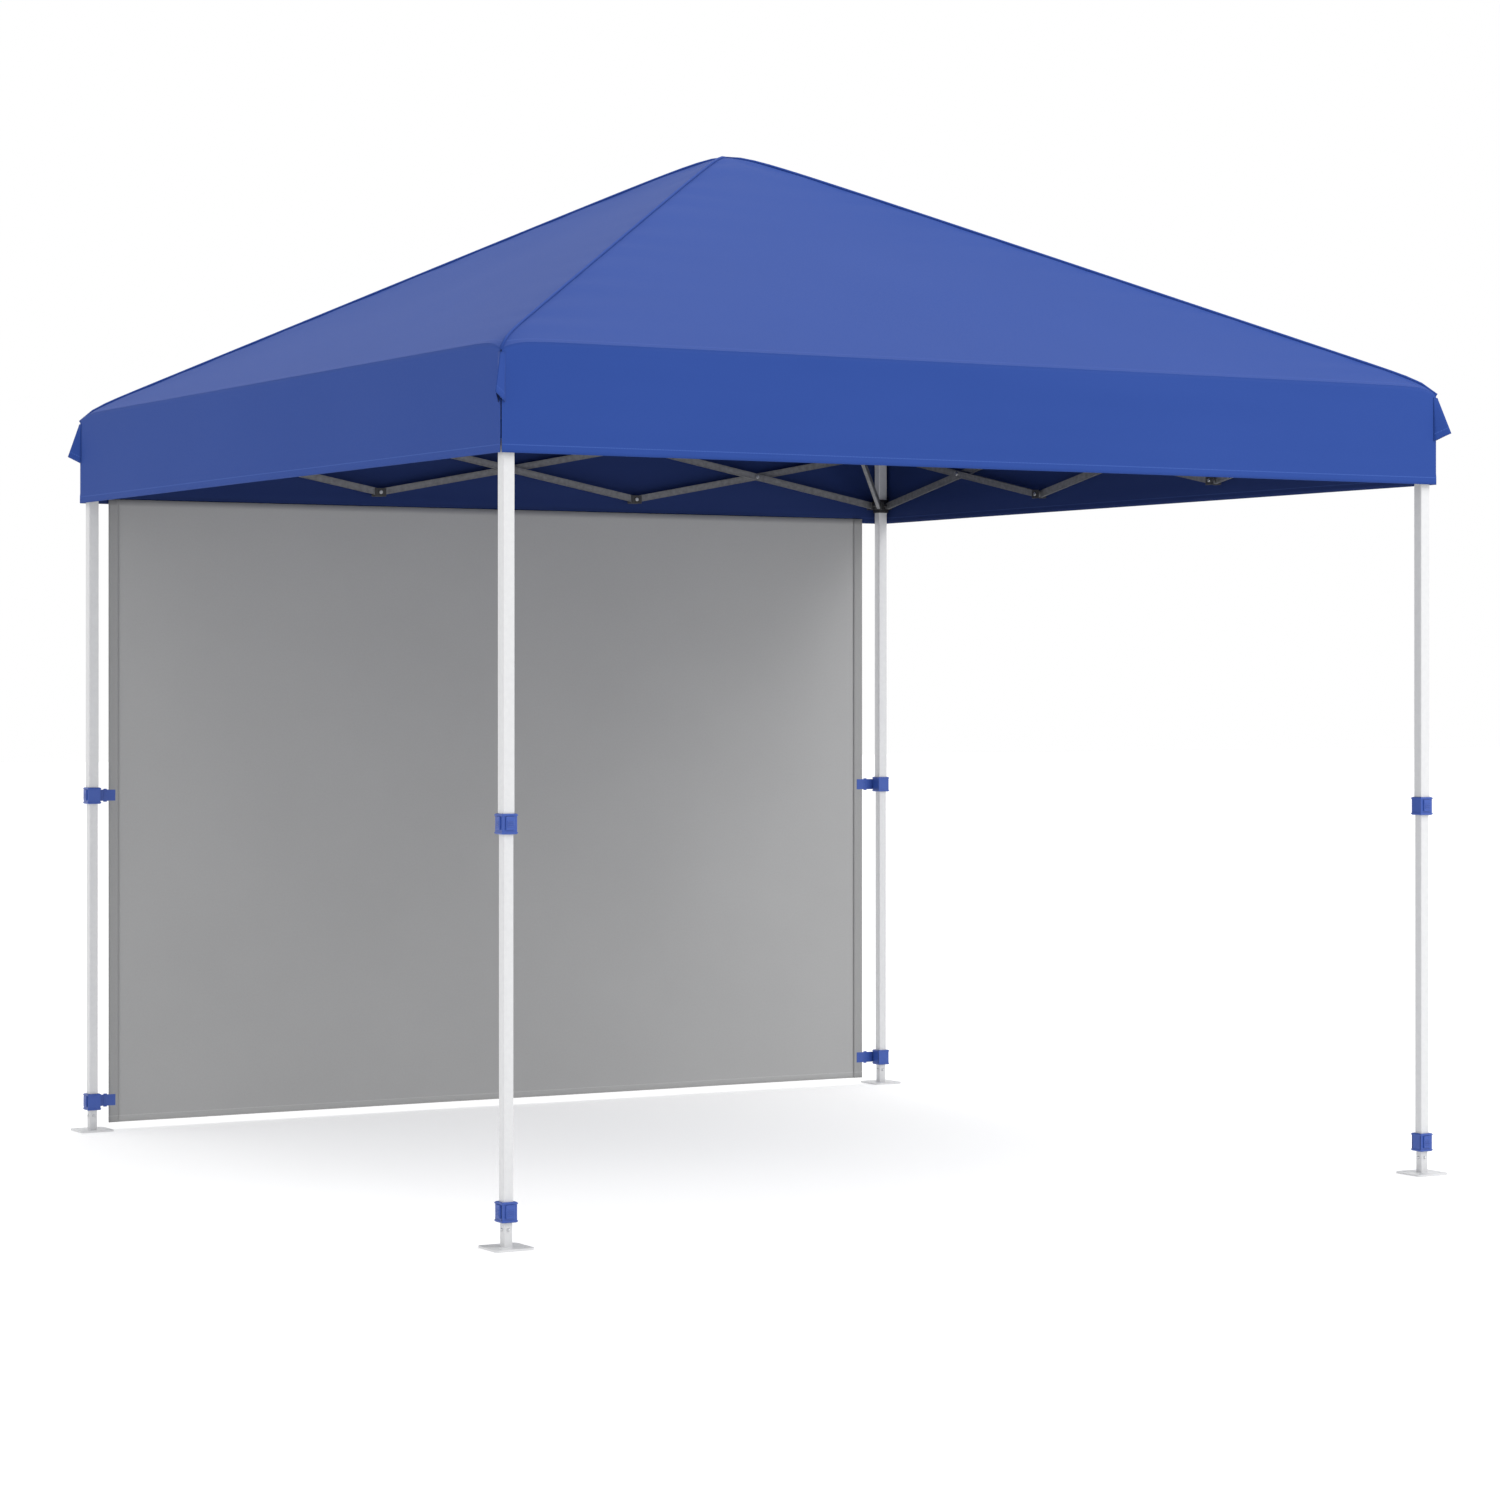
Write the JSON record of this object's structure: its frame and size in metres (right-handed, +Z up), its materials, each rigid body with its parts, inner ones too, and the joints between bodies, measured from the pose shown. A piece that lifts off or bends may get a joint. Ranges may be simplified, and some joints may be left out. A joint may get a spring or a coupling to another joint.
{
  "type": "pop up canopy",
  "caption": "Square folding canopy with telescopic legs, scissor side trusses, folding roof arms, pyramid cloth roof, valance and one side wall.",
  "frame": {"origin": "on the ground at the centre of the footprint", "axes": "+Z up, -Y the open front, the side wall on +Y"},
  "size_m": [3.05, 3.05, 3],
  "materials": {
    "white_tube": "satin white paint",
    "grey_tube": "dark satin",
    "blue_plastic": "moulded nylon",
    "black_plastic": "moulded nylon",
    "blue_cloth": "coated polyester",
    "grey_cloth": "coated polyester"
  },
  "bodies": {
    "leg_front_left": {"outer_leg_front_left": "white_tube", "valance_front": "blue_cloth", "valance_left": "blue_cloth"},
    "slider_front_left": {"slider_front_left": "black_plastic"},
    "middle_leg_front_left": {"middle_leg_front_left": "white_tube"},
    "foot_leg_front_left": {"foot_leg_front_left": "white_tube"},
    "outer_arm_front_left": {"outer_arm_front_left": "grey_tube"},
    "inner_arm_front_left": {"inner_arm_front_left": "grey_tube"},
    "leg_front_right": {"outer_leg_front_right": "white_tube", "valance_right": "blue_cloth"},
    "slider_front_right": {"slider_front_right": "black_plastic"},
    "middle_leg_front_right": {"middle_leg_front_right": "white_tube"},
    "foot_leg_front_right": {"foot_leg_front_right": "white_tube"},
    "outer_arm_front_right": {"outer_arm_front_right": "grey_tube"},
    "inner_arm_front_right": {"inner_arm_front_right": "grey_tube"},
    "leg_back_left": {"outer_leg_back_left": "white_tube", "valance_back": "blue_cloth", "side_wall": "grey_cloth"},
    "slider_back_left": {"slider_back_left": "black_plastic"},
    "middle_leg_back_left": {"middle_leg_back_left": "white_tube"},
    "foot_leg_back_left": {"foot_leg_back_left": "white_tube"},
    "outer_arm_back_left": {"outer_arm_back_left": "grey_tube"},
    "inner_arm_back_left": {"inner_arm_back_left": "grey_tube"},
    "leg_back_right": {"outer_leg_back_right": "white_tube"},
    "slider_back_right": {"slider_back_right": "black_plastic"},
    "middle_leg_back_right": {"middle_leg_back_right": "white_tube"},
    "foot_leg_back_right": {"foot_leg_back_right": "white_tube"},
    "outer_arm_back_right": {"outer_arm_back_right": "grey_tube"},
    "inner_arm_back_right": {"inner_arm_back_right": "grey_tube"},
    "hub": {"hub": "black_plastic", "peak_post": "white_tube", "peak_cap": "black_plastic"},
    "front_falling_1": {"front_falling_bar_1": "grey_tube"},
    "front_rising_1": {"front_rising_bar_1": "grey_tube"},
    "front_falling_2": {"front_falling_bar_2": "grey_tube"},
    "front_rising_2": {"front_rising_bar_2": "grey_tube"},
    "front_falling_3": {"front_falling_bar_3": "grey_tube"},
    "front_rising_3": {"front_rising_bar_3": "grey_tube"},
    "left_falling_1": {"left_falling_bar_1": "grey_tube"},
    "left_rising_1": {"left_rising_bar_1": "grey_tube"},
    "left_falling_2": {"left_falling_bar_2": "grey_tube"},
    "left_rising_2": {"left_rising_bar_2": "grey_tube"},
    "left_falling_3": {"left_falling_bar_3": "grey_tube"},
    "left_rising_3": {"left_rising_bar_3": "grey_tube"},
    "right_falling_1": {"right_falling_bar_1": "grey_tube"},
    "right_rising_1": {"right_rising_bar_1": "grey_tube"},
    "right_falling_2": {"right_falling_bar_2": "grey_tube"},
    "right_rising_2": {"right_rising_bar_2": "grey_tube"},
    "right_falling_3": {"right_falling_bar_3": "grey_tube"},
    "right_rising_3": {"right_rising_bar_3": "grey_tube"},
    "back_falling_1": {"back_falling_bar_1": "grey_tube"},
    "back_rising_1": {"back_rising_bar_1": "grey_tube"},
    "back_falling_2": {"back_falling_bar_2": "grey_tube"},
    "back_rising_2": {"back_rising_bar_2": "grey_tube"},
    "back_falling_3": {"back_falling_bar_3": "grey_tube"},
    "back_rising_3": {"back_rising_bar_3": "grey_tube"},
    "roof_front": {"roof_panel_front": "blue_cloth"},
    "roof_right": {"roof_panel_right": "blue_cloth"},
    "roof_back": {"roof_panel_back": "blue_cloth"},
    "roof_left": {"roof_panel_left": "blue_cloth"}
  },
  "joints": [
    {"name": "fold", "type": "hinge", "parent": "leg_front_left", "child": "front_falling_1", "pos_m": [-1.434, -1.47, 2.225], "axis": [0, 1, 0], "range_deg": [0, 75.8], "deforming": ["roof_panel_front", "valance_front", "roof_panel_right", "valance_right", "roof_panel_back", "valance_back", "roof_panel_left", "valance_left", "side_wall"]},
    {"name": "front_cross_1", "type": "hinge", "parent": "front_falling_1", "child": "front_rising_1", "pos_m": [-0.956, -1.47, 2.135], "axis": [0, 1, 0], "range_deg": [-151.62, 0]},
    {"name": "front_knuckle_1", "type": "hinge", "parent": "front_rising_1", "child": "front_falling_2", "pos_m": [-0.478, -1.47, 2.225], "axis": [0, 1, 0], "range_deg": [0, 151.62]},
    {"name": "front_cross_2", "type": "hinge", "parent": "front_falling_2", "child": "front_rising_2", "pos_m": [0, -1.47, 2.135], "axis": [0, 1, 0], "range_deg": [-151.62, 0]},
    {"name": "front_knuckle_2", "type": "hinge", "parent": "front_rising_2", "child": "front_falling_3", "pos_m": [0.478, -1.47, 2.225], "axis": [0, 1, 0], "range_deg": [0, 151.62]},
    {"name": "front_cross_3", "type": "hinge", "parent": "front_falling_3", "child": "front_rising_3", "pos_m": [0.956, -1.47, 2.135], "axis": [0, 1, 0], "range_deg": [-151.62, 0]},
    {"name": "front_leg_pivot", "type": "hinge", "parent": "front_rising_3", "child": "leg_front_right", "pos_m": [1.434, -1.47, 2.225], "axis": [0, 1, 0], "range_deg": [0, 75.82]},
    {"name": "front_left_slider_pivot", "type": "hinge", "parent": "front_rising_1", "child": "slider_front_left", "pos_m": [-1.434, -1.47, 2.045], "axis": [0, 1, 0], "range_deg": [0, 75.82]},
    {"name": "front_right_slider_pivot", "type": "hinge", "parent": "front_falling_3", "child": "slider_front_right", "pos_m": [1.434, -1.47, 2.045], "axis": [0, 1, 0], "range_deg": [-75.82, 0]},
    {"name": "left_fold", "type": "hinge", "parent": "leg_front_left", "child": "left_falling_1", "pos_m": [-1.47, -1.434, 2.225], "axis": [-1, 0, 0], "range_deg": [0, 75.82]},
    {"name": "left_cross_1", "type": "hinge", "parent": "left_falling_1", "child": "left_rising_1", "pos_m": [-1.47, -0.956, 2.135], "axis": [-1, 0, 0], "range_deg": [-151.62, 0]},
    {"name": "left_knuckle_1", "type": "hinge", "parent": "left_rising_1", "child": "left_falling_2", "pos_m": [-1.47, -0.478, 2.225], "axis": [-1, 0, 0], "range_deg": [0, 151.62]},
    {"name": "left_cross_2", "type": "hinge", "parent": "left_falling_2", "child": "left_rising_2", "pos_m": [-1.47, 0, 2.135], "axis": [-1, 0, 0], "range_deg": [-151.62, 0]},
    {"name": "left_knuckle_2", "type": "hinge", "parent": "left_rising_2", "child": "left_falling_3", "pos_m": [-1.47, 0.478, 2.225], "axis": [-1, 0, 0], "range_deg": [0, 151.62]},
    {"name": "left_cross_3", "type": "hinge", "parent": "left_falling_3", "child": "left_rising_3", "pos_m": [-1.47, 0.956, 2.135], "axis": [-1, 0, 0], "range_deg": [-151.62, 0]},
    {"name": "left_leg_pivot", "type": "hinge", "parent": "left_rising_3", "child": "leg_back_left", "pos_m": [-1.47, 1.434, 2.225], "axis": [-1, 0, 0], "range_deg": [0, 75.82]},
    {"name": "back_left_slider_pivot", "type": "hinge", "parent": "left_falling_3", "child": "slider_back_left", "pos_m": [-1.47, 1.434, 2.045], "axis": [-1, 0, 0], "range_deg": [-75.82, 0]},
    {"name": "right_fold", "type": "hinge", "parent": "leg_front_right", "child": "right_falling_1", "pos_m": [1.47, -1.434, 2.225], "axis": [-1, 0, 0], "range_deg": [0, 75.82]},
    {"name": "right_cross_1", "type": "hinge", "parent": "right_falling_1", "child": "right_rising_1", "pos_m": [1.47, -0.956, 2.135], "axis": [-1, 0, 0], "range_deg": [-151.62, 0]},
    {"name": "right_knuckle_1", "type": "hinge", "parent": "right_rising_1", "child": "right_falling_2", "pos_m": [1.47, -0.478, 2.225], "axis": [-1, 0, 0], "range_deg": [0, 151.62]},
    {"name": "right_cross_2", "type": "hinge", "parent": "right_falling_2", "child": "right_rising_2", "pos_m": [1.47, 0, 2.135], "axis": [-1, 0, 0], "range_deg": [-151.62, 0]},
    {"name": "right_knuckle_2", "type": "hinge", "parent": "right_rising_2", "child": "right_falling_3", "pos_m": [1.47, 0.478, 2.225], "axis": [-1, 0, 0], "range_deg": [0, 151.62]},
    {"name": "right_cross_3", "type": "hinge", "parent": "right_falling_3", "child": "right_rising_3", "pos_m": [1.47, 0.956, 2.135], "axis": [-1, 0, 0], "range_deg": [-151.62, 0]},
    {"name": "right_leg_pivot", "type": "hinge", "parent": "right_rising_3", "child": "leg_back_right", "pos_m": [1.47, 1.434, 2.225], "axis": [-1, 0, 0], "range_deg": [0, 75.82]},
    {"name": "back_right_slider_pivot", "type": "hinge", "parent": "right_falling_3", "child": "slider_back_right", "pos_m": [1.47, 1.434, 2.045], "axis": [-1, 0, 0], "range_deg": [-75.82, 0]},
    {"name": "back_fold", "type": "hinge", "parent": "leg_back_left", "child": "back_falling_1", "pos_m": [-1.434, 1.47, 2.225], "axis": [0, 1, 0], "range_deg": [0, 75.82]},
    {"name": "back_cross_1", "type": "hinge", "parent": "back_falling_1", "child": "back_rising_1", "pos_m": [-0.956, 1.47, 2.135], "axis": [0, 1, 0], "range_deg": [-151.62, 0]},
    {"name": "back_knuckle_1", "type": "hinge", "parent": "back_rising_1", "child": "back_falling_2", "pos_m": [-0.478, 1.47, 2.225], "axis": [0, 1, 0], "range_deg": [0, 151.62]},
    {"name": "back_cross_2", "type": "hinge", "parent": "back_falling_2", "child": "back_rising_2", "pos_m": [0, 1.47, 2.135], "axis": [0, 1, 0], "range_deg": [-151.62, 0]},
    {"name": "back_knuckle_2", "type": "hinge", "parent": "back_rising_2", "child": "back_falling_3", "pos_m": [0.478, 1.47, 2.225], "axis": [0, 1, 0], "range_deg": [0, 151.62]},
    {"name": "back_cross_3", "type": "hinge", "parent": "back_falling_3", "child": "back_rising_3", "pos_m": [0.956, 1.47, 2.135], "axis": [0, 1, 0], "range_deg": [-151.62, 0]},
    {"name": "front_left_arm_pivot", "type": "hinge", "parent": "slider_front_left", "child": "outer_arm_front_left", "pos_m": [-1.42757, -1.42757, 2.045], "axis": [-0.7071, 0.7071, 0], "range_deg": [-59.99, 0]},
    {"name": "front_left_arm_knuckle", "type": "hinge", "parent": "outer_arm_front_left", "child": "inner_arm_front_left", "pos_m": [-0.82439, -0.82439, 2.5375], "axis": [-0.7071, 0.7071, 0], "range_deg": [0, 146.47]},
    {"name": "hub_pivot", "type": "hinge", "parent": "inner_arm_front_left", "child": "hub", "pos_m": [-0.03182, -0.03182, 2.54139], "axis": [-0.7071, 0.7071, 0], "range_deg": [-86.5, 0]},
    {"name": "front_left_middle_slide", "type": "slide", "parent": "leg_front_left", "child": "middle_leg_front_left", "axis": [0, 0, 1], "range_m": [0, 0.9]},
    {"name": "front_left_foot_slide", "type": "slide", "parent": "middle_leg_front_left", "child": "foot_leg_front_left", "axis": [0, 0, 1], "range_m": [-0.3, 0]},
    {"name": "front_right_arm_pivot", "type": "hinge", "parent": "slider_front_right", "child": "outer_arm_front_right", "pos_m": [1.42757, -1.42757, 2.045], "axis": [-0.7071, -0.7071, 0], "range_deg": [-59.99, 0]},
    {"name": "front_right_arm_knuckle", "type": "hinge", "parent": "outer_arm_front_right", "child": "inner_arm_front_right", "pos_m": [0.82439, -0.82439, 2.5375], "axis": [-0.7071, -0.7071, 0], "range_deg": [0, 146.47]},
    {"name": "front_right_middle_slide", "type": "slide", "parent": "leg_front_right", "child": "middle_leg_front_right", "axis": [0, 0, 1], "range_m": [0, 0.9]},
    {"name": "front_right_foot_slide", "type": "slide", "parent": "middle_leg_front_right", "child": "foot_leg_front_right", "axis": [0, 0, 1], "range_m": [-0.3, 0]},
    {"name": "back_left_arm_pivot", "type": "hinge", "parent": "slider_back_left", "child": "outer_arm_back_left", "pos_m": [-1.42757, 1.42757, 2.045], "axis": [0.7071, 0.7071, 0], "range_deg": [-59.99, 0]},
    {"name": "back_left_arm_knuckle", "type": "hinge", "parent": "outer_arm_back_left", "child": "inner_arm_back_left", "pos_m": [-0.82439, 0.82439, 2.5375], "axis": [0.7071, 0.7071, 0], "range_deg": [0, 146.47]},
    {"name": "back_left_middle_slide", "type": "slide", "parent": "leg_back_left", "child": "middle_leg_back_left", "axis": [0, 0, 1], "range_m": [0, 0.9]},
    {"name": "back_left_foot_slide", "type": "slide", "parent": "middle_leg_back_left", "child": "foot_leg_back_left", "axis": [0, 0, 1], "range_m": [-0.3, 0]},
    {"name": "back_right_arm_pivot", "type": "hinge", "parent": "slider_back_right", "child": "outer_arm_back_right", "pos_m": [1.42757, 1.42757, 2.045], "axis": [0.7071, -0.7071, 0], "range_deg": [-59.99, 0]},
    {"name": "back_right_arm_knuckle", "type": "hinge", "parent": "outer_arm_back_right", "child": "inner_arm_back_right", "pos_m": [0.82439, 0.82439, 2.5375], "axis": [0.7071, -0.7071, 0], "range_deg": [0, 146.47]},
    {"name": "back_right_middle_slide", "type": "slide", "parent": "leg_back_right", "child": "middle_leg_back_right", "axis": [0, 0, 1], "range_m": [0, 0.9]},
    {"name": "back_right_foot_slide", "type": "slide", "parent": "middle_leg_back_right", "child": "foot_leg_back_right", "axis": [0, 0, 1], "range_m": [-0.3, 0]},
    {"name": "roof_front_fold", "type": "hinge", "parent": "leg_front_left", "child": "roof_front", "pos_m": [0, -1.45, 2.29021], "axis": [-1, 0, 0], "range_deg": [0, 116.77]},
    {"name": "roof_right_fold", "type": "hinge", "parent": "leg_front_right", "child": "roof_right", "pos_m": [1.45, 0, 2.29021], "axis": [0, -1, 0], "range_deg": [0, 116.77]},
    {"name": "roof_back_fold", "type": "hinge", "parent": "leg_back_left", "child": "roof_back", "pos_m": [0, 1.45, 2.29021], "axis": [1, 0, 0], "range_deg": [0, 116.77]},
    {"name": "roof_left_fold", "type": "hinge", "parent": "leg_front_left", "child": "roof_left", "pos_m": [-1.45, 0, 2.29021], "axis": [0, 1, 0], "range_deg": [0, 116.77]}
  ],
  "couplings": [
    {"joint": "front_cross_1", "follows": "fold", "ratio": -2},
    {"joint": "front_knuckle_1", "follows": "fold", "ratio": 2},
    {"joint": "front_cross_2", "follows": "fold", "ratio": -2},
    {"joint": "front_knuckle_2", "follows": "fold", "ratio": 2},
    {"joint": "front_cross_3", "follows": "fold", "ratio": -2},
    {"joint": "front_leg_pivot", "follows": "fold", "ratio": 1},
    {"joint": "front_left_slider_pivot", "follows": "fold", "ratio": 1},
    {"joint": "front_right_slider_pivot", "follows": "fold", "ratio": -1},
    {"joint": "left_fold", "follows": "fold", "ratio": 1},
    {"joint": "left_cross_1", "follows": "fold", "ratio": -2},
    {"joint": "left_knuckle_1", "follows": "fold", "ratio": 2},
    {"joint": "left_cross_2", "follows": "fold", "ratio": -2},
    {"joint": "left_knuckle_2", "follows": "fold", "ratio": 2},
    {"joint": "left_cross_3", "follows": "fold", "ratio": -2},
    {"joint": "left_leg_pivot", "follows": "fold", "ratio": 1},
    {"joint": "back_left_slider_pivot", "follows": "fold", "ratio": -1},
    {"joint": "right_fold", "follows": "fold", "ratio": 1},
    {"joint": "right_cross_1", "follows": "fold", "ratio": -2},
    {"joint": "right_knuckle_1", "follows": "fold", "ratio": 2},
    {"joint": "right_cross_2", "follows": "fold", "ratio": -2},
    {"joint": "right_knuckle_2", "follows": "fold", "ratio": 2},
    {"joint": "right_cross_3", "follows": "fold", "ratio": -2},
    {"joint": "right_leg_pivot", "follows": "fold", "ratio": 1},
    {"joint": "back_right_slider_pivot", "follows": "fold", "ratio": -1},
    {"joint": "back_fold", "follows": "fold", "ratio": 1},
    {"joint": "back_cross_1", "follows": "fold", "ratio": -2},
    {"joint": "back_knuckle_1", "follows": "fold", "ratio": 2},
    {"joint": "back_cross_2", "follows": "fold", "ratio": -2},
    {"joint": "back_knuckle_2", "follows": "fold", "ratio": 2},
    {"joint": "back_cross_3", "follows": "fold", "ratio": -2},
    {"joint": "front_left_arm_pivot", "follows": "fold", "ratio": -0.79117},
    {"joint": "front_left_arm_knuckle", "follows": "fold", "ratio": 1.9321},
    {"joint": "hub_pivot", "follows": "fold", "ratio": -1.1409},
    {"joint": "front_right_arm_pivot", "follows": "fold", "ratio": -0.79117},
    {"joint": "front_right_arm_knuckle", "follows": "fold", "ratio": 1.9321},
    {"joint": "back_left_arm_pivot", "follows": "fold", "ratio": -0.79117},
    {"joint": "back_left_arm_knuckle", "follows": "fold", "ratio": 1.9321},
    {"joint": "back_right_arm_pivot", "follows": "fold", "ratio": -0.79117},
    {"joint": "back_right_arm_knuckle", "follows": "fold", "ratio": 1.9321},
    {"joint": "roof_front_fold", "follows": "fold", "ratio": 1.5403},
    {"joint": "roof_right_fold", "follows": "fold", "ratio": 1.5403},
    {"joint": "roof_back_fold", "follows": "fold", "ratio": 1.5403},
    {"joint": "roof_left_fold", "follows": "fold", "ratio": 1.5403}
  ]
}
